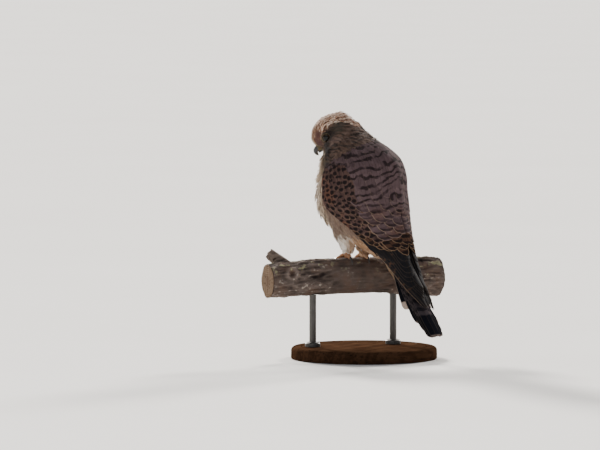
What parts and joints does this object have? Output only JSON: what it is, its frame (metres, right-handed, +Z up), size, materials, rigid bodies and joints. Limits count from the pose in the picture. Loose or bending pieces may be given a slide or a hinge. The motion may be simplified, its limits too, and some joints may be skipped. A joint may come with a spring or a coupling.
{
  "type": "common kestrel model",
  "caption": "Common kestrel, life size, perched on a cut length of branch with its head turned to the left, on a plain round display stand.",
  "frame": {"origin": "centre of the stand base's underside", "axes": "+Z up; the bird's breast faces -Y and its left side is towards +X, with its head turned to its left"},
  "size_m": [0.2039, 0.1934, 0.2827],
  "materials": {
    "plumage": "satin",
    "flight_feathers": "satin",
    "eye": "gloss",
    "bare_skin": "satin",
    "bill": "gloss",
    "claw": "gloss",
    "bark": "matte",
    "stand_wood": "satin",
    "rod_steel": "brushed"
  },
  "bodies": {
    "root": {"head": "plumage", "neck": "plumage", "torso": "plumage", "eye_left": "eye", "eye_right": "eye", "cere": "bare_skin", "bill_upper": "bill", "bill_lower": "bill", "wing_left": "flight_feathers", "wing_right": "flight_feathers", "tail": "flight_feathers", "thigh_left": "plumage", "thigh_right": "plumage", "foot_left": "bare_skin", "claw_left_middle": "claw", "claw_left_inner": "claw", "claw_left_outer": "claw", "claw_left_hind": "claw", "foot_right": "bare_skin", "claw_right_middle": "claw", "claw_right_inner": "claw", "claw_right_outer": "claw", "claw_right_hind": "claw", "perch_branch": "bark", "stand_rod_left": "rod_steel", "stand_rod_right": "rod_steel", "stand_base": "stand_wood"}
  },
  "joints": []
}
